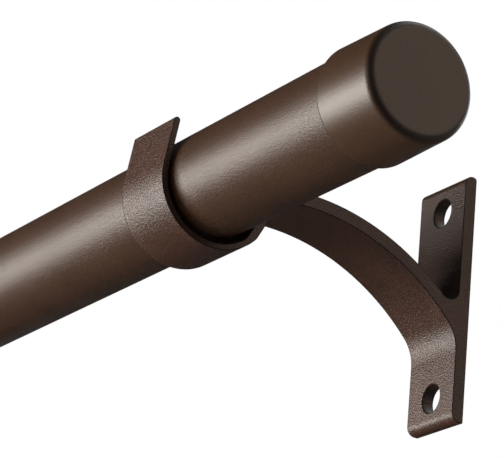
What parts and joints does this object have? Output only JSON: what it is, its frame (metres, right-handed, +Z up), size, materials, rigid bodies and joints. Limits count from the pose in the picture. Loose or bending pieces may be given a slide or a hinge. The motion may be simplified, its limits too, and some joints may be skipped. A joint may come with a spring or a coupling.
{
  "type": "curtain rod",
  "caption": "Round curtain rod with plain slip-over end caps, lying in open cradle brackets whose curved arms end in screw-on wall plates.",
  "frame": {"origin": "on the wall's surface, at the centre of the four screw holes, midway between the brackets", "axes": "+X along the rod, +Y into the wall, +Z up; the room is on the -Y side"},
  "size_m": [0.608, 0.087, 0.0624],
  "materials": {
    "tube_coat": "satin dark bronze powder coat",
    "cap_coat": "satin dark bronze powder coat, slightly browner",
    "bracket_coat": "fine-textured dark bronze powder coat"
  },
  "bodies": {
    "root": {"rod_tube": "tube_coat", "right_end_cap": "cap_coat", "left_end_cap": "cap_coat", "right_bracket": "bracket_coat", "left_bracket": "bracket_coat"}
  },
  "joints": []
}
